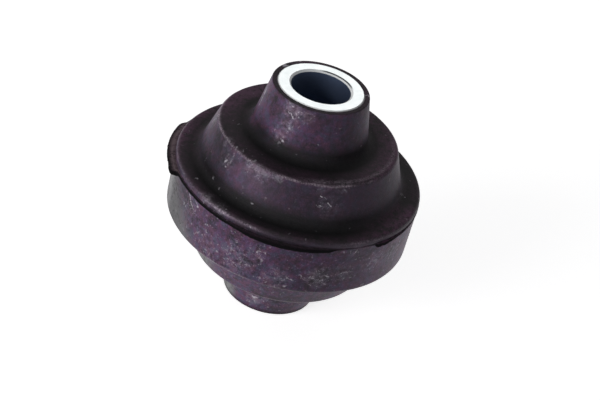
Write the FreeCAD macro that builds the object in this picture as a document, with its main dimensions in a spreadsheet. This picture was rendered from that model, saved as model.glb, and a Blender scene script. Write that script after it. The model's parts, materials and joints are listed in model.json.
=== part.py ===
import FreeCAD, Part
import math
import os
import Sketcher
import PartDesign

# Engine mount bushing: a steel sleeve with a stepped rubber body moulded round it.
# Millimetres, +Z along the sleeve, origin on the sleeve's axis at half its length.

doc = FreeCAD.newDocument("EngineMountBushing")

# Driving sizes. The radii build outwards from the bore, wall by wall and step by step.
# Offsets and half heights are measured from the mid-plane.

SIZES = [
    ("bore_diameter", 14.2),
    ("sleeve_wall", 3.4),
    ("sleeve_length", 60.0),
    ("bore_chamfer", 0.5),
    ("sleeve_chamfer", 0.4),
    ("rubber_setback", 0.1),
    ("neck_skin", 1.1),
    ("neck_lip_round", 0.3),
    ("neck_flare", 2.6),
    ("neck_root_fillet", 2.6),
    ("mid_shelf_offset", 17.6),
    ("mid_shelf_width", 7.45),
    ("mid_shelf_round", 1.3),
    ("flank_lean", 3.4),
    ("flank_root_fillet", 2.4),
    ("drum_half_height", 7.65),
    ("drum_shelf_width", 4.95),
    ("drum_corner_round", 1.2),
    ("parting_offset", 5.3),
    ("flash_thickness", 0.7),
    ("flash_root_depth", 2.0),
    ("flash_least", 0.2),
    ("flash_side", 1.9),
    ("flash_front", 0.75),
]

# The torn flash stands out furthest in two stretches of the drum's edge:
# the size, the azimuth of the stretch's middle and half its width, in degrees from +X.

FLASH_STRETCHES = [
    ("flash_side", 188, 21),
    ("flash_front", 260, 40),
]
STRETCH_FADE = 14
OUTLINE_STEP = 10

# Radii of the rubber section, each built on the one before.

BOND_RADIUS = "Sizes.bore_diameter / 2 + Sizes.sleeve_wall"
LIP_RADIUS = BOND_RADIUS + " + Sizes.neck_skin"
NECK_ROOT_RADIUS = LIP_RADIUS + " + Sizes.neck_flare"
MID_SHELF_RADIUS = NECK_ROOT_RADIUS + " + Sizes.mid_shelf_width"
FLANK_ROOT_RADIUS = MID_SHELF_RADIUS + " + Sizes.flank_lean"
DRUM_RADIUS = FLANK_ROOT_RADIUS + " + Sizes.drum_shelf_width"
RUBBER_END = "Sizes.sleeve_length / 2 - Sizes.rubber_setback"

# Corners of the upper half of the section, from the sleeve outwards: name, radius and offset.

STEPS = [
    ("bond", BOND_RADIUS, RUBBER_END),
    ("lip", LIP_RADIUS, RUBBER_END),
    ("neck_root", NECK_ROOT_RADIUS, "Sizes.mid_shelf_offset"),
    ("mid_shelf", MID_SHELF_RADIUS, "Sizes.mid_shelf_offset"),
    ("flank_root", FLANK_ROOT_RADIUS, "Sizes.drum_half_height"),
    ("drum_edge", DRUM_RADIUS, "Sizes.drum_half_height"),
]

# Roundings of the section: corner, name and size.

ROUNDINGS = [
    ("neck_root", "NeckRootFillet", "neck_root_fillet"),
    ("flank_root", "FlankRootFillet", "flank_root_fillet"),
    ("mid_shelf", "MidShelfRound", "mid_shelf_round"),
    ("drum_edge", "DrumCornerRound", "drum_corner_round"),
    ("lip", "NeckLipRound", "neck_lip_round"),
]


def fill_sheet():
    """Write every size into the sheet and return the values by name."""
    sheet = doc.addObject("Spreadsheet::Sheet", "Sizes")
    for row, (name, value) in enumerate(SIZES, start=1):
        sheet.set("A%d" % row, name)
        sheet.set("B%d" % row, str(value))
        sheet.setAlias("B%d" % row, name)
    doc.recompute()
    return {name: float(sheet.get(name)) for name, value in SIZES}


size = fill_sheet()


# Sketch and feature helpers

NEAR = 1e-4


def new_body(label):
    """Add an empty body named like its file."""
    body = doc.addObject("PartDesign::Body", label)
    body.Label = label
    return body


def new_sketch(body, name, role):
    """Add a sketch on one of the body's own origin planes."""
    planes = [feature for feature in body.Origin.OriginFeatures if feature.Role == role]
    sketch = body.newObject("Sketcher::SketchObject", name)
    sketch.AttachmentSupport = [(planes[0], "")]
    sketch.MapMode = "FlatFace"
    return sketch


def drive(sketch, constraint, name, formula):
    """Add a constraint and bind it to sizes in the sheet."""
    index = sketch.addConstraint(constraint)
    sketch.renameConstraint(index, name)
    sketch.setExpression("Constraints." + name, formula)


def centred_circle(sketch, radius):
    """Add a circle held on the sketch origin."""
    circle = Part.Circle(FreeCAD.Vector(0, 0, 0), FreeCAD.Vector(0, 0, 1), radius)
    index = sketch.addGeometry(circle)
    sketch.addConstraint(Sketcher.Constraint("Coincident", index, 3, -1, 1))
    return index


def ring_edges(feature, radius, offset):
    """Names of the circular edges of this radius, at this offset above and below."""
    names = []
    for number, edge in enumerate(feature.Shape.Edges, start=1):
        curve = edge.Curve
        if not isinstance(curve, Part.Circle):
            continue
        same_radius = math.isclose(curve.Radius, radius, abs_tol=NEAR)
        if same_radius and math.isclose(abs(curve.Center.z), offset, abs_tol=NEAR):
            names.append("Edge%d" % number)
    if len(names) != 2:
        raise RuntimeError("%s has %d rings of radius %.3f" % (feature.Name, len(names), radius))
    return names


def dress(body, kind, name, ring, size_name):
    """Round or chamfer a ring, given as (radius, offset), above and below the mid-plane."""
    base = body.Tip
    feature = body.newObject("PartDesign::" + kind, name)
    feature.Base = (base, ring_edges(base, *ring))
    feature.setExpression("Radius" if kind == "Fillet" else "Size", "Sizes." + size_name)
    doc.recompute()


# Steel sleeve

def make_sleeve():
    """A turned tube with both ends chamfered inside and out."""
    body = new_body("centre_sleeve")
    sketch = new_sketch(body, "SleeveRings", "XY_Plane")
    bore_radius = size["bore_diameter"] / 2
    outer_radius = bore_radius + size["sleeve_wall"]
    inside = Sketcher.Constraint("Radius", centred_circle(sketch, bore_radius), bore_radius)
    outside = Sketcher.Constraint("Radius", centred_circle(sketch, outer_radius), outer_radius)
    drive(sketch, inside, "bore_radius", "Sizes.bore_diameter / 2")
    drive(sketch, outside, "outer_radius", BOND_RADIUS)
    tube = body.newObject("PartDesign::Pad", "Tube")
    tube.Profile = sketch
    tube.Midplane = True
    tube.setExpression("Length", "Sizes.sleeve_length")
    doc.recompute()
    end = size["sleeve_length"] / 2
    dress(body, "Chamfer", "OuterChamfers", (outer_radius, end), "sleeve_chamfer")
    dress(body, "Chamfer", "BoreChamfers", (bore_radius, end), "bore_chamfer")
    return body


# Moulded rubber

def stepped_section(body):
    """The closed stepped section, symmetric about the mid-plane.

    It is drawn as a rough ring of lines, and the constraints set the true places."""
    sketch = new_sketch(body, "SteppedSection", "XZ_Plane")
    upper = [FreeCAD.Vector(1 + step, len(STEPS) - step, 0) for step in range(len(STEPS))]
    lower = [FreeCAD.Vector(point.x, -point.y, 0) for point in reversed(upper)]
    corners = upper + lower
    count = len(corners)
    for index in range(count):
        sketch.addGeometry(Part.LineSegment(corners[index], corners[(index + 1) % count]))
    for index in range(count):
        following = (index + 1) % count
        sketch.addConstraint(Sketcher.Constraint("Coincident", index, 2, following, 1))
    for index, (name, radius, offset) in enumerate(STEPS):
        across = Sketcher.Constraint("DistanceX", index, 1, corners[index].x)
        above = Sketcher.Constraint("DistanceY", index, 1, corners[index].y)
        drive(sketch, across, name + "_radius", radius)
        drive(sketch, above, name + "_offset", offset)
        opposite = count - 1 - index
        sketch.addConstraint(Sketcher.Constraint("Symmetric", index, 1, opposite, 1, -1))
    doc.recompute()
    return sketch


def section_rings(sketch):
    """The ring that each upper corner of the solved section makes: radius and offset."""
    corners = [line.StartPoint for line in sketch.Geometry]
    return {name: (corners[index].x, corners[index].y) for index, (name, _, _) in enumerate(STEPS)}


def flash_overhang(azimuth):
    """How far the flash stands out of the drum at this azimuth."""
    overhang = size["flash_least"]
    for name, middle, half_width in FLASH_STRETCHES:
        turn = abs((azimuth - middle + 180) % 360 - 180)
        share = min(max((half_width + STRETCH_FADE / 2 - turn) / STRETCH_FADE, 0), 1)
        overhang += size[name] * share * share * (3 - 2 * share)
    return overhang


def flash_outline(drum_radius):
    """A smooth closed curve round the flash's torn edge."""
    points = []
    for azimuth in range(0, 360, OUTLINE_STEP):
        reach = drum_radius + flash_overhang(azimuth)
        angle = math.radians(azimuth)
        points.append(FreeCAD.Vector(reach * math.cos(angle), reach * math.sin(angle), 0))
    curve = Part.BSplineCurve()
    curve.interpolate(points, PeriodicFlag=True)
    return curve


def add_flash(body, drum_radius):
    """The torn mould flash that stands out of the drum at the parting line."""
    sketch = new_sketch(body, "FlashOutline", "XY_Plane")
    sketch.setExpression(".AttachmentOffset.Base.z", "Sizes.parting_offset")
    root_radius = drum_radius - size["flash_root_depth"]
    root = Sketcher.Constraint("Radius", centred_circle(sketch, root_radius), root_radius)
    drive(sketch, root, "root_radius", DRUM_RADIUS + " - Sizes.flash_root_depth")
    sketch.addGeometry(flash_outline(drum_radius))
    fin = body.newObject("PartDesign::Pad", "Flash")
    fin.Profile = sketch
    fin.setExpression("Length", "Sizes.flash_thickness")
    doc.recompute()


def make_rubber():
    """The stepped body of revolution, rounded at every step, with its flash."""
    body = new_body("rubber_body")
    section = stepped_section(body)
    turned = body.newObject("PartDesign::Revolution", "SteppedBody")
    turned.Profile = section
    turned.ReferenceAxis = (section, ["V_Axis"])
    turned.Angle = 360.0
    doc.recompute()
    rings = section_rings(section)
    for corner, name, size_name in ROUNDINGS:
        dress(body, "Fillet", name, rings[corner], size_name)
    drum_radius, drum_offset = rings["drum_edge"]
    add_flash(body, drum_radius)
    return body


# Checks and files

def check_model():
    """Stop if any feature failed or any body has no single valid solid."""
    for item in doc.Objects:
        states = [state for state in item.State if state in ("Invalid", "Error")]
        if states:
            raise RuntimeError("%s did not build: %s" % (item.Name, states))
    for body in bodies:
        if body.Shape.isNull() or not body.Shape.isValid() or len(body.Shape.Solids) != 1:
            raise RuntimeError(body.Label + " is not one valid solid")


bodies = [make_sleeve(), make_rubber()]
doc.recompute()
check_model()

os.makedirs("parts", exist_ok=True)
for body in bodies:
    body.Shape.exportStep("parts/%s.step" % body.Label)
    box = body.Shape.BoundBox
    print("%s: volume %.1f, box %.2f x %.2f x %.2f, from z %.2f" % (
        body.Label, body.Shape.Volume, box.XLength, box.YLength, box.ZLength, box.ZMin))
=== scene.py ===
import json
import math
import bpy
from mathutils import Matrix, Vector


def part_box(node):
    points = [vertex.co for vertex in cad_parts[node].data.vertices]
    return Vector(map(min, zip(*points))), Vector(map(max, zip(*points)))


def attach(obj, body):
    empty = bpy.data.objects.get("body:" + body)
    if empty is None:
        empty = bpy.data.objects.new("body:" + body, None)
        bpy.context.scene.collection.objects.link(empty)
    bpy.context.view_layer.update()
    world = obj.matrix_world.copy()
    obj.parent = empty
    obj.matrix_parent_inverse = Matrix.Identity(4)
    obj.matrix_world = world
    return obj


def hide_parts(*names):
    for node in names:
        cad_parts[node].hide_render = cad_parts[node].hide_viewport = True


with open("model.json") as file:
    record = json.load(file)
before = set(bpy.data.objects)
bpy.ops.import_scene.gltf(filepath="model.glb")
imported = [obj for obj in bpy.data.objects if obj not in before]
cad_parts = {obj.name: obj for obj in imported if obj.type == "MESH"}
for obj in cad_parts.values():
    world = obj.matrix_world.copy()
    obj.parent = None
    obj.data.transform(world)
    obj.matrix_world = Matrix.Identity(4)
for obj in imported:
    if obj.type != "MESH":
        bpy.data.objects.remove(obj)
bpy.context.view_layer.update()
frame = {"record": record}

from types import SimpleNamespace

import bpy
from bpy.props import FloatProperty, FloatVectorProperty, IntProperty
from mathutils import Matrix, Vector

bl_info = {
    "name": "Engine mount bushing",
    "version": (1, 0, 0),
    "blender": (4, 5, 0),
    "location": "3D View > Sidebar > Bushing",
    "description": "A steel sleeve in a stepped rubber moulding, with its stage",
    "category": "Object",
}

MM = 0.001
TAU = 2 * math.pi


# Sizes taken from the frame

def top_corner(node):
    """Highest corner of a CAD node's box."""
    return Vector(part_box(node)[1])


def mount_radius(name):
    """Wall radius of a round mount in the record, in metres."""
    mounts = {mount["name"]: mount for mount in frame["record"]["mounts"]}
    return mounts[name]["dims"]["r_mm"] * MM


SLEEVE_TOP = top_corner("centre_sleeve")
RUBBER_TOP = top_corner("rubber_body")


def length(name, description, default):
    """A length property in metres."""
    return FloatProperty(name=name, description=description, default=default, unit="LENGTH", precision=5)


def colour(name, description, default):
    """A linear colour property."""
    return FloatVectorProperty(name=name, description=description, default=default, size=3,
                               subtype="COLOR", min=0.0, max=1.0)


# Settings that a user would change

class SleeveSettings(bpy.types.PropertyGroup):
    """Sizes and colours of the steel sleeve."""
    bore_radius: length("Bore radius", "Radius of the bolt hole", mount_radius("bore"))
    outer_radius: length("Outer radius", "Outside radius of the sleeve", SLEEVE_TOP.x)
    half_length: length("Half length", "Half the sleeve's length", SLEEVE_TOP.z)
    bore_chamfer: length("Bore chamfer", "Chamfer at the mouth of the bore", 0.5 * MM)
    outer_chamfer: length("Outer chamfer", "Chamfer round the end face", 0.4 * MM)
    edge_round: length("Edge round", "Softening of each turned edge", 0.06 * MM)
    plating: colour("Plating", "Colour of the bright plated steel", (0.88, 0.92, 0.92))
    dull_plating: colour("Dull plating", "Plating where it is scuffed", (0.66, 0.72, 0.74))
    # The chamfers painted near white and unmetallic, as a painted highlight.
    chamfer_highlight: colour("Bright edge", "Colour of the chamfers", (0.97, 0.99, 0.99))
    # The bore wall's colour deep down, painted lighter there against the shade inside the bore.
    bore_shade: colour("Bore shade", "Colour of the unpolished bore wall", (0.19, 0.26, 0.42))
    # Painted shade on the bore wall near its mouth and on its right side.
    bore_painted_dark: colour("Bore stain", "Colour of the bore wall where it is stained", (0.055, 0.075, 0.130))
    # A painted dark reflection on the far side of the bore's mouth.
    painted_dark_reflection: colour("Grime", "Dark line round part of the bore's mouth", (0.010, 0.012, 0.020))
    turns: IntProperty(name="Turns", description="Segments round the sleeve", default=256, min=24)


class RubberSettings(bpy.types.PropertyGroup):
    """Sizes and colours of the rubber moulding."""
    half_length: length("Half length", "Half the moulding's length", RUBBER_TOP.z)
    neck_skin: length("Neck skin", "Rubber round the sleeve at the neck's tip", 1.1 * MM)
    lip_round: length("Lip round", "Rounding of the neck's tip", 0.3 * MM)
    neck_flare: length("Neck flare", "How much the neck widens to its root", 2.6 * MM)
    neck_fillet: length("Neck fillet", "Hollow round the neck's root", 2.6 * MM)
    mid_offset: length("Middle shelf offset", "Height of the middle shelf", 17.6 * MM)
    mid_width: length("Middle shelf width", "Width of the middle shelf", 7.45 * MM)
    mid_round: length("Middle shelf round", "Rounding of the middle shelf's rim", 1.3 * MM)
    flank_lean: length("Flank lean", "How much the flank widens to its root", 3.4 * MM)
    flank_fillet: length("Flank fillet", "Hollow round the flank's root", 2.4 * MM)
    drum_offset: length("Drum half height", "Height of the drum's shelf", 7.65 * MM)
    drum_width: length("Drum shelf width", "Width of the drum's shelf", 4.95 * MM)
    drum_round: length("Drum corner round", "Rounding of the drum's corners", 1.2 * MM)
    parting_offset: length("Parting offset", "Height of the parting line", 5.3 * MM)
    flash_thickness: length("Flash thickness", "Thickness of the torn flash", 0.7 * MM)
    flash_widest: length("Flash overhang", "Furthest reach of the torn flash", 2.05 * MM)
    ragged: length("Raggedness", "How far the torn edge wanders", 0.45 * MM)
    ripple: length("Ripple", "Unevenness of the moulded skin", 0.08 * MM)
    # The pale ring there is partly worn and partly a painted highlight where the shelf bends into its rim.
    worn_and_highlit_ring: length("Worn ring", "Radius of the ring worn into the middle shelf", 20.5 * MM)
    spacing: length("Section spacing", "Distance between points of the section", 0.8 * MM)
    turns: IntProperty(name="Turns", description="Segments round the moulding", default=540, min=36)
    seed: IntProperty(name="Seed", description="Seed of the random tears and ripples", default=7)
    # The black of up- and down-facing shelves, where the bloom is left off as painted shade; the bloom is
    # partly real and partly painted sheen on the upright sides.
    shelf_black: colour("Shelf black", "Rubber where it faces up or down", (0.0110, 0.0105, 0.0115))
    bloom: colour("Bloom", "Purple bloom on the upright sides", (0.080, 0.039, 0.095))
    plum_bloom: colour("Plum bloom", "Warmer patches of the bloom", (0.092, 0.037, 0.076))
    slate_bloom: colour("Slate bloom", "Cooler patches of the bloom", (0.057, 0.050, 0.093))
    # Painted sheen: the grey that the far left of the lower drum shows where it reflects the white floor.
    grey_painted_sheen: colour("Grey bloom", "Faded bloom on the left side", (0.155, 0.160, 0.158))
    fin_brown: colour("Fin brown", "Top of the flash on the left side", (0.165, 0.115, 0.130))
    # Pale rims, partly rubbed and partly a painted highlight.
    rubbed: colour("Rubbed rim", "Rims rubbed pale", (0.300, 0.240, 0.288))
    # The black of the fresh torn flash; it also paints the shade under the flash, in the hollows, on dim
    # sides and at the lower end.
    torn_and_shade_black: colour("Torn black", "Fresh rubber of the torn flash", (0.0045, 0.0040, 0.0048))
    chalk: colour("Chalk", "Pale specks and scuffs", (0.48, 0.45, 0.50))


class StageSettings(bpy.types.PropertyGroup):
    """The camera, lamps and floor."""
    camera_place: FloatVectorProperty(name="Camera place", description="Where the camera stands",
                                      default=(0.0, -0.27480, 0.18390), subtype="TRANSLATION")
    camera_aim: FloatVectorProperty(name="Camera aim", description="Point that the camera looks at",
                                    default=(0.00211, -0.00375, 0.00038), subtype="TRANSLATION")
    camera_roll: FloatProperty(name="Camera roll", description="Tilt of the picture",
                               default=math.radians(15.33), subtype="ANGLE")
    focal_length: FloatProperty(name="Focal length", description="Lens in millimetres", default=81.48)
    floor: colour("Floor", "Colour of the pale floor", (0.85, 0.85, 0.85))
    floor_reach: length("Floor reach", "Half the width of the floor", 5.0)


# Node graphs

class Value:
    """A socket that carries a number, so that maths on it is written as an expression."""

    def __init__(self, graph, socket):
        self.graph = graph
        self.socket = socket

    def math(self, operation, *others):
        return self.graph.maths(operation, self, *others)

    def __add__(self, other):
        return self.math("ADD", other)

    def __radd__(self, other):
        return self.math("ADD", other)

    def __sub__(self, other):
        return self.math("SUBTRACT", other)

    def __rsub__(self, other):
        return self.graph.maths("SUBTRACT", other, self)

    def __mul__(self, other):
        return self.math("MULTIPLY", other)

    def __rmul__(self, other):
        return self.math("MULTIPLY", other)

    def __truediv__(self, other):
        return self.math("DIVIDE", other)

    def __rtruediv__(self, other):
        return self.graph.maths("DIVIDE", other, self)

    def __abs__(self):
        return self.math("ABSOLUTE")

    def clamped(self):
        """The number held between 0 and 1."""
        return self.graph.add("ShaderNodeClamp", {}, {"Value": self})

    def ramp(self, start, end):
        """0 at start, 1 at end, eased in between."""
        return self.graph.add("ShaderNodeMapRange", {"interpolation_type": "SMOOTHSTEP"},
                              {"Value": self, "From Min": start, "From Max": end})

    def curved(self, points):
        """The number read off a curve through these (place, height) points."""
        return self.graph.add("ShaderNodeFloatCurve", {"curve": points}, {"Value": self})


class Graph:
    """A node tree with one way to add a node."""

    def __init__(self, tree):
        self.tree = tree
        tree.nodes.clear()

    def add(self, kind, settings=None, inputs=None, output=0):
        """Add a node, set it up, feed its sockets and return one of its outputs."""
        node = self.tree.nodes.new(kind)
        for name, value in (settings or {}).items():
            if name == "stops":
                self.set_stops(node.color_ramp, value)
            elif name == "curve":
                self.set_curve(node.mapping, value)
            else:
                setattr(node, name, value)
        for key, value in (inputs or {}).items():
            self.feed(self.socket(node.inputs, key), value)
        if not node.outputs:
            return node
        found = self.socket(node.outputs, output)
        return Value(self, found) if found.type in ("VALUE", "INT", "BOOLEAN") else found

    def socket(self, sockets, key):
        """A socket by its place, or by name among those in use."""
        if isinstance(key, int):
            return sockets[key]
        return [socket for socket in sockets if socket.name == key and socket.enabled][0]

    def feed(self, socket, value):
        """Link a socket, or set its own value."""
        if isinstance(value, Value):
            value = value.socket
        if isinstance(value, bpy.types.NodeSocket):
            self.tree.links.new(value, socket)
        elif socket.type == "RGBA" and len(value) == 3:
            socket.default_value = (*value, 1.0)
        else:
            socket.default_value = value

    def set_stops(self, ramp, stops):
        """Give a colour ramp these (place, colour) stops."""
        while len(ramp.elements) > len(stops):
            ramp.elements.remove(ramp.elements[-1])
        while len(ramp.elements) < len(stops):
            ramp.elements.new(1.0)
        for element, (place, shade) in zip(ramp.elements, stops):
            element.position = place
            element.color = (*shade, 1.0)

    def set_curve(self, mapping, points):
        """Give a float curve these (place, height) points."""
        curve = mapping.curves[0]
        while len(curve.points) < len(points):
            curve.points.new(0.5, 0.5)
        for point, place in zip(curve.points, points):
            point.location = place
        mapping.update()

    def maths(self, operation, *values):
        """A number worked out by a Math node."""
        return self.add("ShaderNodeMath", {"operation": operation}, dict(enumerate(values)))

    def vectors(self, operation, *values, output=0):
        """A vector, or with output 1 a number, worked out by a Vector Math node."""
        return self.add("ShaderNodeVectorMath", {"operation": operation}, dict(enumerate(values)), output)

    def scaled(self, vector, factor):
        """A vector times a number."""
        return self.add("ShaderNodeVectorMath", {"operation": "SCALE"}, {0: vector, "Scale": factor})

    def split(self, vector):
        """The three parts of a vector."""
        first = self.add("ShaderNodeSeparateXYZ", {}, {0: vector})
        node = first.socket.node
        return [Value(self, socket) for socket in node.outputs]

    def joined(self, x, y, z):
        """A vector from three numbers."""
        return self.add("ShaderNodeCombineXYZ", {}, {0: x, 1: y, 2: z})

    def noise(self, vector, scale, detail=2.0, roughness=0.5, output=0):
        """Smooth noise from 0 to 1, or with output 1 a vector of it."""
        return self.add("ShaderNodeTexNoise", {"noise_dimensions": "3D"},
                        {"Vector": vector, "Scale": scale, "Detail": detail, "Roughness": roughness}, output)

    def blend(self, factor, first, second):
        """One colour faded into another."""
        return self.add("ShaderNodeMix", {"data_type": "RGBA"}, {0: factor, 6: first, 7: second}, 2)


def new_material(name):
    """A material with its graph emptied, and the graph."""
    material = bpy.data.materials.new(name)
    material.use_nodes = True
    return material, Graph(material.node_tree)


def close_material(graph, shader):
    """Send a shader to the material's output."""
    graph.add("ShaderNodeOutputMaterial", {}, {"Surface": shader})


# Materials

def object_place(graph):
    """Object coordinates in millimetres."""
    return graph.scaled(graph.add("ShaderNodeTexCoord", {}, {}, "Object"), 1 / MM)


def specks(graph, place, cell, reach, share):
    """Round specks of mixed size and strength, in a share of the cells of a Voronoi pattern."""
    distance = graph.add("ShaderNodeTexVoronoi", {"voronoi_dimensions": "3D", "feature": "F1"},
                         {"Vector": place, "Scale": 1 / cell})
    lucky, size, strength = graph.split(distance.socket.node.outputs["Color"])
    spread = distance / (0.4 + 0.9 * size)
    inside = spread.ramp(reach / cell, 0.4 * reach / cell)
    return inside * (share - lucky).math("GREATER_THAN", 0.0) * (0.35 + 0.65 * strength)


# Scuffs that stand out on the rubber: the two ends as azimuth in degrees, radius and height
# in millimetres, then the width in millimetres and the strength.

SCUFFS = [
    ((242.6, 12.1, 27.5), (252.7, 12.4, 26.0), 0.22, 0.80),
    ((249.2, 12.3, 26.7), (251.5, 12.6, 25.2), 0.30, 0.75),
    ((286.1, 22.6, 14.9), (294.4, 23.3, 12.6), 0.28, 0.85),
    ((285.0, 23.1, 13.1), (287.0, 23.3, 12.9), 0.25, 0.60),
    ((193.3, 13.3, 21.8), (189.1, 12.2, 26.9), 0.35, 0.80),
    ((222.8, 30.0, 5.1), (229.7, 30.0, 3.3), 0.28, 0.95),
    ((220.5, 30.0, 4.2), (226.5, 30.0, 1.6), 0.25, 0.70),
    ((228.0, 30.0, -4.4), (231.9, 30.0, -1.9), 0.30, 0.40),
    ((319.2, 30.0, 1.1), (316.8, 30.0, -0.2), 0.35, 0.35),
    ((335.3, 30.0, -0.5), (334.8, 30.0, 2.2), 0.35, 0.35),
    ((354.6, 24.9, 8.6), (355.6, 26.4, 7.7), 0.30, 0.60),
    ((197.0, 16.4, 17.6), (199.0, 17.4, 17.6), 0.30, 0.55),
    ((277.0, 30.0, -3.4), (279.5, 30.0, -3.9), 0.35, 0.70),
    ((281.0, 30.0, -2.3), (285.5, 30.0, -3.3), 0.40, 0.50),
    ((293.5, 30.0, -1.8), (295.5, 30.0, -2.0), 0.35, 0.60),
    ((300.0, 30.0, -1.5), (305.3, 30.0, -1.1), 0.30, 0.40),
    ((251.0, 30.0, 6.95), (256.0, 30.0, 6.9), 0.30, 0.60),
    # The last two, wide and faint just under the middle rim at the front left, are a painted highlight.
    ((240.0, 22.1, 16.5), (251.0, 22.1, 16.4), 1.20, 0.14),
    ((250.0, 22.1, 16.4), (262.0, 22.1, 16.6), 1.00, 0.17),
]

# Larger chips of chalk: azimuth, radius, height, width and strength, measured as above.

CHIPS = [
    (241.0, 11.7, 29.4, 0.25, 0.7), (247.3, 13.5, 20.7, 0.45, 0.9), (238.8, 13.5, 20.7, 0.30, 0.7),
    (212.9, 21.5, 17.3, 0.40, 0.5), (222.5, 21.8, 17.0, 0.45, 0.7), (224.4, 22.9, 13.8, 0.35, 0.8),
    (225.5, 23.3, 12.8, 0.40, 0.9), (207.9, 24.5, 9.2, 0.30, 0.5), (217.0, 28.0, 7.65, 0.35, 0.8),
    (221.6, 24.7, 8.8, 0.40, 0.9), (228.6, 25.4, 8.0, 0.35, 0.8), (249.5, 24.5, 9.3, 0.40, 0.8),
    (240.5, 30.0, 4.8, 0.40, 0.9), (235.4, 30.0, 1.2, 0.35, 0.8), (219.0, 30.0, -4.9, 0.35, 0.8),
    (262.0, 30.0, 1.6, 0.40, 1.0), (265.0, 30.0, 1.7, 0.30, 0.7), (263.8, 30.0, -1.5, 0.45, 0.7),
    (259.6, 12.5, -25.4, 0.65, 1.1), (277.4, 30.0, -6.2, 0.45, 0.6), (305.6, 30.0, 4.9, 0.40, 0.7),
    (302.8, 30.0, 4.8, 0.35, 0.6), (309.2, 30.0, 1.4, 0.35, 0.6), (338.5, 13.6, 20.3, 0.30, 0.8),
    (22.3, 19.5, 17.6, 0.30, 0.7), (151.0, 11.1, 29.9, 0.90, 2.0), (124.0, 11.5, 29.7, 0.70, 2.0),
    (8.0, 10.9, 29.9, 0.60, 2.0),
]

# Where chalk lies thickest: azimuth, radius, height, reach and weight, measured as above.

# Those on the neck and just under the middle rim, at the front left, also paint the pale highlight there.
SPRINKLES = [
    (290.6, 30.0, -2.6, 4.5, 0.9), (302.0, 30.0, -1.2, 4.0, 0.5), (272.0, 30.0, -4.5, 5.0, 0.6),
    (253.0, 30.0, -3.0, 6.5, 0.6), (238.0, 30.0, -3.5, 6.0, 0.4), (318.0, 30.0, 0.5, 5.0, 0.7),
    (305.0, 30.0, 4.5, 3.0, 0.4), (262.0, 30.0, 0.5, 3.5, 0.4), (258.0, 12.5, -25.8, 3.0, 1.1),
    (275.0, 12.8, -24.0, 4.0, 0.4), (243.0, 13.4, 21.5, 3.2, 0.6), (249.0, 12.4, 26.5, 2.6, 0.4),
    (224.0, 22.6, 14.5, 4.0, 0.4), (292.0, 23.4, 12.6, 4.0, 0.3), (248.0, 22.4, 15.6, 3.6, 0.3),
    (330.0, 30.0, 1.0, 4.5, 0.6), (240.3, 22.3, 15.9, 3.0, 0.35), (228.0, 21.9, 16.9, 3.0, 0.3),
    (217.0, 21.8, 17.2, 2.2, 0.7), (188.0, 22.2, 15.8, 3.0, 0.7), (247.0, 11.9, 28.2, 3.2, 1.0),
    (262.0, 12.0, 28.0, 2.4, 0.6), (246.0, 12.9, 24.0, 2.6, 0.8), (231.0, 29.7, 7.0, 2.6, 0.8),
    (240.0, 29.7, 7.0, 2.6, 0.6), (222.0, 30.0, 2.5, 5.0, 0.35), (300.0, 21.6, 17.4, 3.0, 0.4),
    (285.0, 21.6, 17.4, 3.0, 0.4),
]

# Where the upright sides are dimmer, above the drum and on it, from +X: the share of a turn
# and how dim.

UPPER_SHADE = [
    (0.000, 0.10), (0.100, 0.00), (0.440, 0.00), (0.500, 0.08), (0.550, 0.28), (0.600, 0.38),
    (0.640, 0.10), (0.680, 0.00), (0.780, 0.00), (0.830, 0.14), (0.870, 0.32), (0.940, 0.32),
    (1.000, 0.10),
]
LOWER_SHADE = [
    (0.000, 0.00), (0.500, 0.00), (0.548, 0.02), (0.564, 0.26), (0.585, 0.36), (0.610, 0.20),
    (0.680, 0.08), (0.720, 0.12), (0.760, 0.18), (0.800, 0.24), (0.840, 0.16), (0.870, 0.05),
    (1.000, 0.00),
]


def on_surface(azimuth, radius, height):
    """A place in millimetres from its azimuth, radius and height."""
    angle = math.radians(azimuth)
    return Vector((radius * math.cos(angle), radius * math.sin(angle), height))


def placed_marks(graph, place):
    """Every placed scuff and chip as one mask."""
    marks = None
    for start, end, width, strength in SCUFFS:
        first = on_surface(*start)
        along = on_surface(*end) - first
        offset = graph.vectors("SUBTRACT", place, first)
        share = graph.vectors("DOT_PRODUCT", offset, along / along.length_squared, output=1)
        nearest = graph.scaled(along, share.clamped())
        gap = graph.vectors("DISTANCE", offset, nearest, output=1)
        mark = gap.ramp(width, 0.2 * width) * strength
        marks = mark if marks is None else marks.math("MAXIMUM", mark)
    for azimuth, radius, height, width, strength in CHIPS:
        gap = graph.vectors("DISTANCE", place, on_surface(azimuth, radius, height), output=1)
        marks = marks.math("MAXIMUM", gap.ramp(1.2 * width, 0.3 * width) * strength)
    return marks


def sprinkled(graph, place):
    """How thickly the chalk lies, from 0 to 1."""
    cover = None
    for azimuth, radius, height, reach, weight in SPRINKLES:
        gap = graph.vectors("DISTANCE", place, on_surface(azimuth, radius, height), output=1)
        share = gap.ramp(reach, 0.2 * reach) * weight
        cover = share if cover is None else cover.math("MAXIMUM", share)
    return cover


def attribute(graph, name):
    """A number stored on the mesh."""
    return graph.add("ShaderNodeAttribute", {"attribute_name": name}, {}, "Fac")


def round_axis(graph, x, y):
    """Distance from the axis, and the share of a turn from +X."""
    radius = graph.maths("SQRT", x * x + y * y)
    return radius, (graph.maths("ARCTAN2", y, x) / TAU).math("FRACT")


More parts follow.
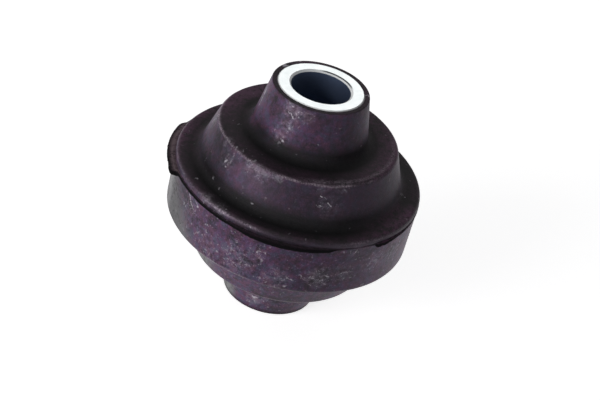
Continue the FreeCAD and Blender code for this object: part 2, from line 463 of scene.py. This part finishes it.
def rubber_places(graph, settings, place):
    """Masks for the regions of the moulding, from a place in millimetres."""
    x, y, height = graph.split(place)
    facing = graph.split(graph.add("ShaderNodeTexCoord", {}, {}, "Normal"))[2]
    radius, turned = round_axis(graph, x, y)
    parting = settings.parting_offset / MM
    shelf = settings.mid_offset / MM
    far_left = turned.ramp(0.44, 0.49) * turned.ramp(0.60, 0.55)
    # Painted shade in the hollows at the roots of the neck and the flank, weaker on the right, at the back
    # and at the far left.
    hollow = attribute(graph, "hollow") * (1.0 - 0.6 * x.ramp(12.0, 22.0))
    return SimpleNamespace(
        x=x, y=y, height=height, radius=radius, turned=turned,
        upright=abs(facing).ramp(0.95, 0.40),
        low=height.ramp(parting + 1.3, parting - 1.3),
        neck=height.ramp(shelf - 2.6, shelf + 1.4),
        above=height.ramp(parting + 0.7, parting + 2.7),
        left=turned.ramp(0.40, 0.50) * turned.ramp(0.645, 0.590),
        far_left=far_left,
        hollow=hollow * (1.0 - 0.5 * y.ramp(2.0, 14.0)) * (1.0 - 0.5 * far_left),
    )


def rubber_patterns(graph, place):
    """Noises that mottle the rubber, and the place bent by one of them."""
    hues = graph.noise(place, 0.62, 3.0, 0.6)
    tones = graph.noise(graph.vectors("ADD", place, (70.0, 20.0, 40.0)), 0.85, 4.0, 0.68)
    patches = graph.noise(place, 0.17, 2.0, 0.5)
    grain = graph.noise(place, 2.4, 3.0, 0.7)
    uneven = 1.0 + 4.4 * (tones - 0.5) + 2.8 * (patches - 0.5) + 2.6 * (grain - 0.5)
    wander = graph.vectors("SUBTRACT", graph.noise(place, 0.55, 2.0, 0.6, 1), (0.5, 0.5, 0.5))
    bent = graph.vectors("ADD", place, graph.scaled(wander, 2.4))
    return SimpleNamespace(hues=hues, tones=tones, patches=patches, grain=grain, uneven=uneven, bent=bent)


def bloomed_and_lit(graph, settings, at, noise):
    """Black rubber with the mottled bloom of its upright sides, partly real bloom and partly painted sheen
    where light falls on them; the shelves stay black as painted shade.
    """
    # Painted sheen: the far left of the lower drum fades to grey as if it reflected the white floor.
    leftward = at.x / at.radius + 0.02 * (at.height.math("MAXIMUM", -8.0) - 4.0)
    faded = 0.9 * leftward.ramp(-0.78, -1.0) * at.low * at.y.ramp(6.0, -5.0)
    bloom = graph.blend(noise.hues.ramp(0.50, 0.58), settings.bloom, settings.plum_bloom)
    bloom = graph.blend(noise.hues.ramp(0.48, 0.40), bloom, settings.slate_bloom)
    bloom = graph.blend(faded, bloom, settings.grey_painted_sheen)

    # Painted shade: less bloom on the front and right, on the flank's left, and low at the front and right,
    # where less light falls.
    front_right = at.turned.ramp(0.655, 0.745) * at.turned.ramp(1.0, 0.92)
    painted_shade_above = at.above * (0.46 * front_right + 0.28 * at.left * (1.0 - at.neck))
    painted_shade_below = at.low * 0.46 * at.turned.ramp(0.69, 0.79) * at.turned.ramp(0.93, 0.84)
    parting = settings.parting_offset / MM
    drum = settings.drum_offset / MM
    corner = at.height.ramp(parting + 0.6, parting + 0.8) * at.height.ramp(drum + 0.75, drum - 0.25)
    corner = corner * at.radius.ramp(28.0, 28.8) * at.turned.ramp(0.65, 0.71)
    # Bloom only on the upright sides, so that the shelves stay black as painted shade; more of it on the
    # lower drum, partly as painted light from below.
    cover = at.upright * (0.37 + 0.33 * at.neck + 0.50 * at.low + 0.40 * at.far_left * at.above)
    cover = cover * (1.0 - 0.75 * at.hollow) * (1.0 - (painted_shade_above + painted_shade_below))
    cover = cover * (1.0 - 0.7 * corner) * noise.uneven
    return graph.blend(cover.clamped(), settings.shelf_black, bloom)


def plum_tinted(graph, settings, at, noise, skin):
    """The skin tinted plum on its shelves, most at the back left and on the right, and brown on the left of
    the flash.
    """
    plum_places = (at.y - 0.6 * at.x).ramp(5.0, 20.0) + (at.x + 0.3 * at.y).ramp(6.0, 26.0)
    shaded = at.y.ramp(-9.0, -3.0) * at.x.ramp(10.0, 20.0) * at.height.ramp(12.0, 9.0)
    plum_share = (1.0 - at.upright) * (1.0 - at.hollow) * (0.20 + 0.55 * plum_places)
    plum_share = plum_share * (1.0 - 0.75 * shaded) * noise.uneven
    skin = graph.blend(plum_share.clamped(), skin, settings.plum_bloom)
    fin = attribute(graph, "fin") * at.x.ramp(-24.0, -29.0)
    return graph.blend((fin * noise.uneven).clamped(), skin, settings.fin_brown)


def rubbed_and_highlit(graph, settings, at, noise, skin):
    """The skin with its rims rubbed pale and a pale ring on the right of the middle shelf, each partly wear
    and partly a painted highlight.
    """
    shelf = settings.mid_offset / MM
    worn_radius = settings.worn_and_highlit_ring / MM + 0.5 * (noise.patches - 0.5)
    ring = abs(at.radius - worn_radius).ramp(0.85, 0.1)
    ring = ring * at.height.ramp(shelf - 0.6, shelf - 0.2) * (at.x - 0.6 * at.y).ramp(11.0, 17.0)
    rubbed = attribute(graph, "rim") * (0.25 + 1.4 * noise.grain.ramp(0.38, 0.66))
    rubbed = rubbed + ring * 0.38 * noise.grain.ramp(0.38, 0.60)
    return graph.blend(rubbed.clamped(), skin, settings.rubbed)


def chalked(graph, settings, at, noise, skin):
    """The skin with its specks, flakes, film and scuffs of chalk."""
    haze = sprinkled(graph, noise.bent)
    thick = haze + 0.05 + 0.19 * at.low
    dots = specks(graph, noise.bent, 1.5, 0.42, 0.55 * thick)
    dust = specks(graph, noise.bent, 0.8, 0.27, 0.90 * thick)
    flakes = noise.grain.ramp(0.57, 0.67) * noise.tones.ramp(0.46, 0.58)
    flakes = flakes * thick * (0.35 + 0.65 * at.upright)
    film = 0.22 * haze * noise.tones.ramp(0.34, 0.64)
    marks = placed_marks(graph, noise.bent) * (0.35 + 0.9 * noise.grain.ramp(0.40, 0.58))
    chalky = (dots * 0.60 + dust * 0.45) * (0.5 + 0.8 * thick) + flakes * 0.8 + film + marks
    return graph.blend(chalky.clamped(), skin, settings.chalk)


def darkness(graph, settings, at, noise):
    """How near to dead black the rubber is painted: torn edges with the shade under the flash, painted shade
    in hollows and on dim sides, and a painted contact shadow at its lower end.
    """
    upper = at.turned.curved(UPPER_SHADE) * at.above * (1.0 - 0.5 * at.neck * at.left)
    drum = settings.drum_offset / MM
    lower = at.turned.curved(LOWER_SHADE) * at.low * at.height.ramp(-drum - 0.85, 0.15 - drum)
    hollow = 0.55 * at.hollow * (0.25 + noise.tones)
    # Painted contact shadow along the lower end, next to the floor.
    contact_shadow = 0.55 * at.height.ramp(-28.3, -29.5)
    return (attribute(graph, "torn") + hollow + at.upright * (upper + lower) + contact_shadow).clamped()


def rubber_material(settings):
    """Matt black rubber: dark shelves, mottled purple bloom on the sides, chalk and scuffs, with painted
    shade, sheen and highlights.
    """
    material, graph = new_material("moulded_rubber")
    place = object_place(graph)
    at = rubber_places(graph, settings, place)
    noise = rubber_patterns(graph, place)
    skin = bloomed_and_lit(graph, settings, at, noise)
    skin = plum_tinted(graph, settings, at, noise, skin)
    skin = rubbed_and_highlit(graph, settings, at, noise, skin)
    skin = chalked(graph, settings, at, noise, skin)

    bump = graph.add("ShaderNodeBump", {}, {
        "Strength": 0.9,
        "Distance": 0.12 * MM,
        "Height": 0.7 * noise.grain + 0.5 * noise.tones,
    })
    sheen = graph.add("ShaderNodeBsdfPrincipled", {}, {
        "Base Color": skin,
        "Roughness": 0.46 + 0.35 * (noise.grain - 0.5),
        "Specular IOR Level": 0.28,
        "Specular Tint": (0.95, 0.72, 1.0, 1.0),
        "Normal": bump,
    })
    matt = graph.add("ShaderNodeBsdfPrincipled", {}, {
        "Base Color": skin,
        "Roughness": 0.76,
        "Specular IOR Level": 0.34,
        "Normal": bump,
    })
    # Near-black rubber for the torn flash and for all the painted shade that darkness mixes in.
    torn = graph.add("ShaderNodeBsdfPrincipled", {}, {
        "Base Color": settings.torn_and_shade_black,
        "Roughness": 0.9,
        "Specular IOR Level": 0.05,
        "Normal": bump,
    })
    dark = darkness(graph, settings, at, noise)
    worn = graph.add("ShaderNodeMixShader", {}, {0: at.upright * (1.0 - at.hollow), 1: matt, 2: sheen})
    shader = graph.add("ShaderNodeMixShader", {}, {0: dark, 1: worn, 2: torn})
    close_material(graph, shader)
    return material


def sleeve_material(settings):
    """Bright plated steel with turning marks on its end faces and a dull dark bore; the bore wall is painted
    darker at its mouth and right side and lighter deeper in, with a painted dark reflection at the mouth's
    far side and chamfers painted white as a highlight.
    """
    material, graph = new_material("plated_steel")
    place = object_place(graph)
    x, y, z = graph.split(place)
    radius, turned = round_axis(graph, x, y)
    wall = settings.bore_radius / MM
    mouth = wall + settings.bore_chamfer / MM
    shoulder = (settings.outer_radius - settings.outer_chamfer) / MM
    inside = radius.ramp(wall + 0.06, wall + 0.01)
    chamfers = radius.ramp(mouth + 0.06, mouth - 0.02)
    chamfers = chamfers + radius.ramp(shoulder - 0.06, shoulder + 0.02)
    # Painted dark reflection: an arc round the far side of the bore's mouth at the upper end.
    painted_reflection_arc = abs(radius - mouth - 0.02).ramp(0.26, 0.10) * z.ramp(0.0, 1.0)
    painted_reflection_arc = painted_reflection_arc * turned.ramp(0.04, 0.10) * turned.ramp(0.29, 0.24)
    rings = graph.noise(graph.joined(radius * 7.0, 0.0, 0.0), 1.0, 3.0, 0.7)
    clouds = graph.noise(place, 0.45, 3.0, 0.6)
    scuffed = (clouds - 0.42) * 0.9 + (rings - 0.5) * 0.5
    plated = graph.blend(scuffed, settings.plating, settings.dull_plating)
    # Painted shade: the bore wall darker near the mouth and on the right, and lighter deeper in as painted
    # light.
    wall_shade = graph.blend(0.75 * z.ramp(19.0, 28.5) + 0.2 * (x / radius).ramp(-0.6, 0.9),
                             settings.bore_shade, settings.bore_painted_dark)
    plated = graph.blend(chamfers.clamped(), plated, settings.chamfer_highlight)
    shade = graph.blend(inside, plated, wall_shade)
    shade = graph.blend(painted_reflection_arc, shade, settings.painted_dark_reflection)
    bump = graph.add("ShaderNodeBump", {}, {"Strength": 0.5, "Distance": 0.02 * MM, "Height": rings})
    shader = graph.add("ShaderNodeBsdfPrincipled", {}, {
        "Base Color": shade,
        "Metallic": (0.85 - 0.25 * inside - 0.85 * chamfers * (1.0 - inside)).clamped(),
        "Roughness": 0.32 + 0.15 * (clouds - 0.5) + 0.26 * inside,
        "Normal": bump,
    })
    close_material(graph, shader)
    return material


# Turned sections

class Section:
    """A closed section in the half-plane of radius and height, corner by corner."""

    SHARES = ("flash", "drop", "torn", "fin", "mid_rim", "drum_rim", "lip_rim", "hollow")
    HOLLOW_REACH = 3.2 * MM

    def __init__(self, spacing):
        self.spacing = spacing
        self.corners = []

    def corner(self, radius, height, rounding=0.0, **shares):
        """Add a corner with its rounding, and its shares of the flash, its drop, its tear with the shade
        under the flash painted in, its rim wear with a painted highlight, and the painted shade of a hollow.
        """
        self.corners.append((Vector((radius, height)), rounding, shares))

    def arc(self, index):
        """Points of one corner: itself, or the arc that rounds it."""
        point, rounding, shares = self.corners[index]
        if rounding <= 0.0:
            return [(point, shares)]
        before = (self.corners[index - 1][0] - point).normalized()
        after = (self.corners[(index + 1) % len(self.corners)][0] - point).normalized()
        half_turn = before.angle(after) / 2
        centre = point + (before + after).normalized() * (rounding / math.sin(half_turn))
        start = point + before * (rounding / math.tan(half_turn)) - centre
        end = point + after * (rounding / math.tan(half_turn)) - centre
        sweep = start.angle_signed(end)
        count = max(8, round(abs(sweep) * rounding / self.spacing * 2))
        spokes = [Matrix.Rotation(-sweep * step / count, 2) @ start for step in range(count + 1)]
        return [(centre + spoke, self.worn(step / count, point.y, shares))
                for step, spoke in enumerate(spokes)]

    def worn(self, share, height, shares):
        """Shares along an arc, strongest past its middle towards the wall, where the rims' painted highlight
        falls.
        """
        outward = share if height > 0.0 else 1.0 - share
        strength = math.sin(math.pi * outward ** 1.7) ** 4
        return {name: value if name == "hollow" else value * strength for name, value in shares.items()}

    def points(self):
        """All points in order, with the straights divided, but not the last one."""
        placed = []
        for index in range(len(self.corners)):
            arc = self.arc(index)
            if placed:
                last, first = placed[-1][0], arc[0][0]
                pieces = max(1, round((first - last).length / self.spacing))
                placed += [(last.lerp(first, step / pieces), {}) for step in range(1, pieces)]
            placed += arc
        return placed

    def mesh(self, name):
        """The section as a ring of edges, with the shares of each point."""
        placed = self.points()
        mesh = bpy.data.meshes.new(name)
        edges = [(index, (index + 1) % len(placed)) for index in range(len(placed))]
        mesh.from_pydata([(point.x, 0.0, point.y) for point, _ in placed], edges, [])
        self.spread_hollows(placed)
        for share in self.SHARES:
            stored = mesh.attributes.new(share, "FLOAT", "POINT")
            for item, (_, shares) in zip(stored.data, placed):
                item.value = shares.get(share, 0.0)
        return mesh

    def spread_hollows(self, placed):
        """Let the painted shade of each hollow fade over the straights next to it."""
        roots = [point for point, shares in placed if shares.get("hollow")]
        for point, shares in placed:
            if roots and not shares.get("hollow"):
                gap = min((point - root).length for root in roots)
                shares["hollow"] = max(0.0, 1.0 - gap / self.HOLLOW_REACH) ** 2


# The torn flash round the drum, from +X: the share of a turn, then how far it reaches out as
# a share of its widest, and how thick it hangs as a share of twice its thickness.

FLASH_REACH = [
    (0.000, 0.05), (0.170, 0.06), (0.333, 0.12), (0.417, 0.22), (0.450, 0.36), (0.458, 0.45),
    (0.465, 0.88), (0.480, 0.97), (0.510, 1.00), (0.550, 0.94), (0.560, 0.96), (0.564, 1.22),
    (0.572, 1.20), (0.575, 0.25), (0.610, 0.12), (0.640, 0.16), (0.672, 0.20), (0.703, 0.42),
    (0.730, 0.66), (0.753, 0.62), (0.775, 0.50), (0.797, 0.32), (0.814, 0.18), (0.828, 0.05),
    (0.873, 0.06), (0.880, 0.26), (0.890, 0.30), (0.905, 0.20), (0.930, 0.12), (0.960, 0.08),
    (1.000, 0.05),
]
FLASH_DEPTH = [
    (0.000, 0.40), (0.420, 0.45), (0.500, 0.60), (0.560, 0.72), (0.566, 0.98), (0.575, 0.95),
    (0.582, 0.64), (0.672, 0.62), (0.703, 0.62), (0.730, 0.72), (0.780, 0.76), (0.806, 0.72),
    (0.818, 0.42), (0.830, 0.26), (0.868, 0.24), (0.876, 0.30), (0.880, 0.80), (0.886, 0.60),
    (0.892, 0.70), (0.898, 0.52), (0.904, 0.62), (0.912, 0.44), (0.930, 0.42), (0.958, 0.38),
    (1.000, 0.40),
]

# How strongly the rims are rubbed pale, partly wear and partly a painted highlight, from +X: the share of a
# turn and the strength.

MID_RIM_WEAR_AND_HIGHLIGHT = [
    (0.000, 0.15), (0.300, 0.20), (0.440, 0.60), (0.470, 1.00), (0.530, 0.95), (0.580, 0.75),
    (0.610, 0.50), (0.660, 0.60), (0.710, 0.65), (0.780, 0.70), (0.860, 0.70), (0.920, 0.40),
    (1.000, 0.15),
]
DRUM_RIM_WEAR_AND_HIGHLIGHT = [
    (0.000, 0.10), (0.300, 0.10), (0.440, 0.22), (0.500, 0.32), (0.560, 0.28), (0.600, 0.26),
    (0.640, 0.50), (0.670, 0.85), (0.700, 0.75), (0.718, 0.40), (0.738, 0.05), (0.830, 0.10),
    (0.850, 0.35), (0.900, 0.30), (0.940, 0.10), (1.000, 0.10),
]

TURNED_INPUTS = [
    ("Turns", "NodeSocketInt"),
    ("Flash Overhang", "NodeSocketFloat"),
    ("Flash Thickness", "NodeSocketFloat"),
    ("Raggedness", "NodeSocketFloat"),
    ("Ripple", "NodeSocketFloat"),
    ("Seed", "NodeSocketInt"),
    ("Material", "NodeSocketMaterial"),
]


def turned_tree():
    """Geometry nodes that turn a section round the Z axis and pull out its torn flash."""
    tree = bpy.data.node_groups.new("turned_section", "GeometryNodeTree")
    tree.interface.new_socket("Geometry", in_out="INPUT", socket_type="NodeSocketGeometry")
    for name, kind in TURNED_INPUTS:
        tree.interface.new_socket(name, in_out="INPUT", socket_type=kind)
    tree.interface.new_socket("Geometry", in_out="OUTPUT", socket_type="NodeSocketGeometry")
    graph = Graph(tree)
    section = graph.add("NodeGroupInput", {}, {}, "Geometry")
    given = section.node.outputs
    turns, overhang, thickness, ragged, ripple, seed = [
        Value(graph, given[name]) for name, _ in TURNED_INPUTS[:-1]]

    count = graph.add("GeometryNodeAttributeDomainSize", {"component": "MESH"}, {"Geometry": section})
    grid = graph.add("GeometryNodeMeshGrid", {}, {"Vertices X": turns + 1, "Vertices Y": count + 1})
    index = graph.add("GeometryNodeInputIndex")
    column = graph.maths("FLOOR", (index + 0.5) / (count + 1))
    row = (index - column * (count + 1)).math("MODULO", count)
    share = column / turns
    angle = share * TAU

    def along_section(kind, field):
        return graph.add("GeometryNodeSampleIndex", {"data_type": kind, "domain": "POINT"},
                         {"Geometry": section, "Value": field, "Index": row})

    def stored(name):
        field = graph.add("GeometryNodeInputNamedAttribute", {"data_type": "FLOAT"}, {"Name": name})
        return along_section("FLOAT", field)

    radius, _, height = graph.split(along_section("FLOAT_VECTOR", graph.add("GeometryNodeInputPosition")))
    flash, drop, torn, fin, mid_rim, drum_rim, lip_rim, hollow = [stored(name) for name in Section.SHARES]

    cosine = graph.maths("COSINE", angle)
    sine = graph.maths("SINE", angle)
    round_path = graph.joined(cosine, sine, seed)
    reach = share.curved(FLASH_REACH)
    depth = share.curved(FLASH_DEPTH)
    coarse = graph.noise(round_path, 9.0, 3.0, 0.65) - 0.5
    fine = graph.noise(round_path, 60.0, 2.0, 0.6) - 0.5
    torn_edge = reach * overhang - ragged * abs(coarse) * (0.3 + reach) + ragged * 0.5 * fine * reach
    pulled = radius + flash * torn_edge.math("MAXIMUM", 0.03 * MM)
    hanging = drop * (thickness * (2.0 * depth - 1.0) + ragged * (coarse + 1.2 * fine) * depth)
    placed = graph.joined(pulled * cosine, pulled * sine, height - hanging)

    turned = graph.add("GeometryNodeSetPosition", {}, {"Geometry": grid, "Position": placed})
    streaks = graph.noise(graph.joined(cosine * 2.5, sine * 2.5, radius * 900.0), 1.0, 3.0, 0.7)
    # Rim wear and painted highlight, strongest at the front left.
    rim = mid_rim * share.curved(MID_RIM_WEAR_AND_HIGHLIGHT) + drum_rim * share.curved(DRUM_RIM_WEAR_AND_HIGHLIGHT) + 0.1 * lip_rim
    rim = rim * streaks.ramp(0.25, 0.60)
    shades = {"torn": torn * depth.ramp(0.05, 0.4), "fin": fin, "rim": rim, "hollow": hollow}
    for name, field in shades.items():
        turned = graph.add("GeometryNodeStoreNamedAttribute", {"data_type": "FLOAT", "domain": "POINT"},
                           {"Geometry": turned, "Name": name, "Value": field})
    turned = graph.add("GeometryNodeMergeByDistance", {}, {"Geometry": turned, "Distance": 0.002 * MM})
    turned = graph.add("GeometryNodeFlipFaces", {}, {"Mesh": turned})
    where = graph.add("GeometryNodeInputPosition")
    swell = graph.noise(where, 70.0, 2.0, 0.5) - 0.5 + 0.25 * (graph.noise(where, 420.0, 2.0, 0.5) - 0.5)
    normal = graph.add("GeometryNodeInputNormal")
    turned = graph.add("GeometryNodeSetPosition", {}, {
        "Geometry": turned, "Offset": graph.scaled(normal, swell * ripple)})
    bend = graph.add("GeometryNodeInputMeshEdgeAngle")
    smooth = graph.maths("LESS_THAN", bend, math.radians(50))
    turned = graph.add("GeometryNodeSetShadeSmooth", {"domain": "EDGE"}, {
        "Geometry": turned, "Shade Smooth": smooth})
    turned = graph.add("GeometryNodeRealizeInstances", {}, {"Geometry": turned})
    turned = graph.add("GeometryNodeSetMaterial", {}, {"Geometry": turned, "Material": given["Material"]})
    graph.add("NodeGroupOutput", {}, {"Geometry": turned})
    return tree


def turn(name, section, values):
    """Turn a section into a plain mesh object of this name."""
    tree = bpy.data.node_groups.get("turned_section") or turned_tree()
    piece = bpy.data.objects.new(name, section.mesh(name + "_section"))
    bpy.context.scene.collection.objects.link(piece)
    modifier = piece.modifiers.new("Turn", "NODES")
    modifier.node_group = tree
    for item in tree.interface.items_tree:
        if item.in_out == "INPUT" and item.name in values:
            modifier[item.identifier] = values[item.name]
    bpy.context.view_layer.update()
    evaluated = piece.evaluated_get(bpy.context.evaluated_depsgraph_get())
    mesh = bpy.data.meshes.new_from_object(evaluated)
    mesh.name = name
    piece.modifiers.remove(modifier)
    piece.data = mesh
    return piece


# Pieces

class BUSHING_OT_sleeve(bpy.types.Operator):
    """Turn the steel sleeve"""
    bl_idname = "bushing.sleeve"
    bl_label = "Sleeve"

    def execute(self, context):
        made = context.scene.bushing_sleeve
        section = Section(1.2 * MM)
        edge = made.edge_round
        end = made.half_length
        for side in (1, -1):
            ring = [
                (made.bore_radius, side * (end - made.bore_chamfer), edge),
                (made.bore_radius + made.bore_chamfer, side * end, edge),
                (made.outer_radius - made.outer_chamfer, side * end, edge),
                (made.outer_radius, side * (end - made.outer_chamfer), edge),
            ]
            for corner in ring if side == 1 else reversed(ring):
                section.corner(*corner)
        piece = turn("centre_sleeve_turned", section, {
            "Turns": made.turns,
            "Flash Overhang": 0.0,
            "Flash Thickness": 0.0,
            "Raggedness": 0.0,
            "Ripple": 0.0,
            "Material": sleeve_material(made),
        })
        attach(piece, "root")
        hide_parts("centre_sleeve")
        return {"FINISHED"}


class BUSHING_OT_rubber(bpy.types.Operator):
    """Turn the stepped rubber moulding with its torn flash"""
    bl_idname = "bushing.rubber"
    bl_label = "Rubber"

    def execute(self, context):
        made = context.scene.bushing_rubber
        piece = turn("rubber_moulding", self.section(made), {
            "Turns": made.turns,
            "Flash Overhang": made.flash_widest,
            "Flash Thickness": made.flash_thickness,
            "Raggedness": made.ragged,
            "Ripple": made.ripple,
            "Seed": made.seed,
            "Material": rubber_material(made),
        })
        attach(piece, "root")
        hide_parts("rubber_body")
        return {"FINISHED"}

    def section(self, made):
        """The stepped section, from the upper bond edge out and down to the lower one."""
        bond = SLEEVE_TOP.x
        lip = bond + made.neck_skin
        neck_root = lip + made.neck_flare
        mid_rim = neck_root + made.mid_width
        flank_root = mid_rim + made.flank_lean
        drum = flank_root + made.drum_width
        steps = [
            (bond, made.half_length, 0.0, {}),
            (lip, made.half_length, made.lip_round, {"lip_rim": 1.0}),
            (neck_root, made.mid_offset, made.neck_fillet, {"hollow": 1.0}),
            (mid_rim, made.mid_offset, made.mid_round, {"mid_rim": 1.0}),
            (flank_root, made.drum_offset, made.flank_fillet, {"hollow": 1.0}),
            (drum, made.drum_offset, made.drum_round, {"drum_rim": 1.0}),
        ]
        section = Section(made.spacing)
        for radius, height, rounding, shares in steps:
            section.corner(radius, height, rounding, **shares)
        self.add_flash(section, drum, made)
        for radius, height, rounding, shares in reversed(steps):
            section.corner(radius, -height, rounding, **shares)
        return section

    def add_flash(self, section, drum, made):
        """The torn lip at the parting line, from its upper root round its tip to its lower root."""
        low = made.parting_offset
        high = low + made.flash_thickness
        slope = 0.12 * made.flash_thickness
        margin = 0.15 * MM
        section.corner(drum, high, fin=0.5)
        section.corner(drum, high, flash=0.4, fin=1.0)
        # The tip and underside rows carry the torn share, which also paints the shade under the flash.
        section.corner(drum, high - slope, flash=0.85, drop=0.1, torn=0.75, fin=0.4)
        section.corner(drum, high - 2 * slope, flash=0.97, drop=0.25, torn=1.0)
        section.corner(drum, high - 4 * slope, flash=1.0, drop=0.5, torn=1.0)
        section.corner(drum, low + 2 * slope, flash=1.0, drop=0.8, torn=1.0)
        section.corner(drum, low, flash=0.85, drop=1.0, torn=1.0)
        section.corner(drum, low, flash=0.4, drop=1.0, torn=1.0)
        section.corner(drum, low, drop=1.0, torn=1.0)
        section.corner(drum, low - margin, drop=1.0)


class BUSHING_OT_stage(bpy.types.Operator):
    """Lay the floor, hang the lamps and place the camera"""
    bl_idname = "bushing.stage"
    bl_label = "Stage"

    def execute(self, context):
        made = context.scene.bushing_stage
        self.lay_floor(context, made)
        self.light_world(context)
        self.hang_lamps(context)
        self.place_camera(context, made)
        context.scene.view_settings.view_transform = "Standard"
        return {"FINISHED"}

    def lay_floor(self, context, made):
        """A wide pale floor under the sleeve's end, white to the camera and to reflections."""
        half = made.floor_reach
        low = -SLEEVE_TOP.z
        mesh = bpy.data.meshes.new("floor")
        mesh.from_pydata([(-half, -half, low), (half, -half, low), (half, half, low), (-half, half, low)],
                         [], [(0, 1, 2, 3)])
        floor = bpy.data.objects.new("floor", mesh)
        context.scene.collection.objects.link(floor)
        material, graph = new_material("pale_floor")
        rays = graph.add("ShaderNodeLightPath", {}, {}, "Is Camera Ray")
        glossy = Value(graph, rays.socket.node.outputs["Is Glossy Ray"])
        seen = rays.math("MAXIMUM", glossy)
        matt = graph.add("ShaderNodeBsdfDiffuse", {}, {"Color": made.floor})
        glow = graph.add("ShaderNodeEmission", {}, {"Color": (1, 1, 1), "Strength": 0.75})
        both = graph.add("ShaderNodeAddShader", {}, {0: matt, 1: glow})
        close_material(graph, graph.add("ShaderNodeMixShader", {}, {0: seen, 1: matt, 2: both}))
        floor.data.materials.append(material)

    def light_world(self, context):
        """White round the horizon, dim overhead."""
        world = bpy.data.worlds.new("studio")
        world.use_nodes = True
        graph = Graph(world.node_tree)
        context.scene.world = world
        up = graph.split(graph.add("ShaderNodeTexCoord", {}, {}, "Generated"))[2]
        soft = graph.add("ShaderNodeValToRGB", {"stops": [
            (0.0, (0.45, 0.45, 0.45)), (0.25, (0.28, 0.28, 0.28)), (0.55, (0.12, 0.12, 0.125)),
            (1.0, (0.05, 0.05, 0.055))]}, {"Fac": up})
        mirrored = graph.add("ShaderNodeValToRGB", {"stops": [
            (0.0, (1.0, 1.0, 1.0)), (0.12, (0.85, 0.85, 0.85)), (0.40, (0.16, 0.16, 0.16)),
            (1.0, (0.03, 0.03, 0.03))]}, {"Fac": up})
        seen = graph.add("ShaderNodeLightPath", {}, {}, "Is Camera Ray")
        glossy = Value(graph, seen.socket.node.outputs["Is Glossy Ray"])
        shade = graph.blend(glossy, soft, mirrored)
        shade = graph.blend(seen, shade, (1.0, 1.0, 1.0))
        sky = graph.add("ShaderNodeBackground", {}, {"Color": shade, "Strength": 1.0})
        graph.add("ShaderNodeOutputWorld", {}, {"Surface": sky})

    def hang_lamps(self, context):
        """A soft key from the left and front, a weak fill from the right and a card behind."""
        lamps = [
            ("key", (-0.42, -0.40, 0.13), 0.35, 2.7),
            ("fill", (0.50, -0.20, 0.10), 0.40, 0.3),
            ("card", (0.03, 0.50, 0.37), 0.40, 0.62),
        ]
        for name, place, width, power in lamps:
            lamp = bpy.data.lights.new(name, "AREA")
            lamp.size = width
            lamp.energy = power
            holder = bpy.data.objects.new(name, lamp)
            holder.location = place
            holder.rotation_euler = (-Vector(place)).to_track_quat("-Z", "Y").to_euler()
            holder.visible_camera = False
            context.scene.collection.objects.link(holder)

    def place_camera(self, context, made):
        """The camera at the photograph's angle, turned about its own axis as there."""
        camera = bpy.data.cameras.new("camera")
        camera.lens = made.focal_length
        camera.sensor_width = 36.0
        camera.clip_start = 0.01
        holder = bpy.data.objects.new("camera", camera)
        place = Vector(made.camera_place)
        aim = Vector(made.camera_aim) - place
        turned = aim.to_track_quat("-Z", "Y").to_matrix() @ Matrix.Rotation(made.camera_roll, 3, "Z")
        holder.matrix_world = Matrix.LocRotScale(place, turned, None)
        context.scene.collection.objects.link(holder)
        context.scene.camera = holder


class BUSHING_PT_panel(bpy.types.Panel):
    """Sizes, colours and the steps that build the bushing"""
    bl_idname = "BUSHING_PT_panel"
    bl_label = "Engine mount bushing"
    bl_space_type = "VIEW_3D"
    bl_region_type = "UI"
    bl_category = "Bushing"

    def draw(self, context):
        for operator, name in STEPS:
            box = self.layout.box()
            box.operator(operator.bl_idname)
            group = getattr(context.scene, name)
            for prop in group.bl_rna.properties:
                if not prop.is_readonly and prop.identifier != "name":
                    box.prop(group, prop.identifier)


STEPS = [
    (BUSHING_OT_sleeve, "bushing_sleeve"),
    (BUSHING_OT_rubber, "bushing_rubber"),
    (BUSHING_OT_stage, "bushing_stage"),
]

GROUPS = {
    "bushing_sleeve": SleeveSettings,
    "bushing_rubber": RubberSettings,
    "bushing_stage": StageSettings,
}

CLASSES = [*GROUPS.values(), *[operator for operator, _ in STEPS], BUSHING_PT_panel]


def register():
    for item in CLASSES:
        bpy.utils.register_class(item)
    for name, group in GROUPS.items():
        setattr(bpy.types.Scene, name, bpy.props.PointerProperty(type=group))


def unregister():
    for name in GROUPS:
        delattr(bpy.types.Scene, name)
    for item in reversed(CLASSES):
        bpy.utils.unregister_class(item)


def main():
    """Build every piece and the stage."""
    register()
    bpy.ops.bushing.sleeve()
    bpy.ops.bushing.rubber()
    bpy.ops.bushing.stage()


if __name__ == "__main__":
    main()
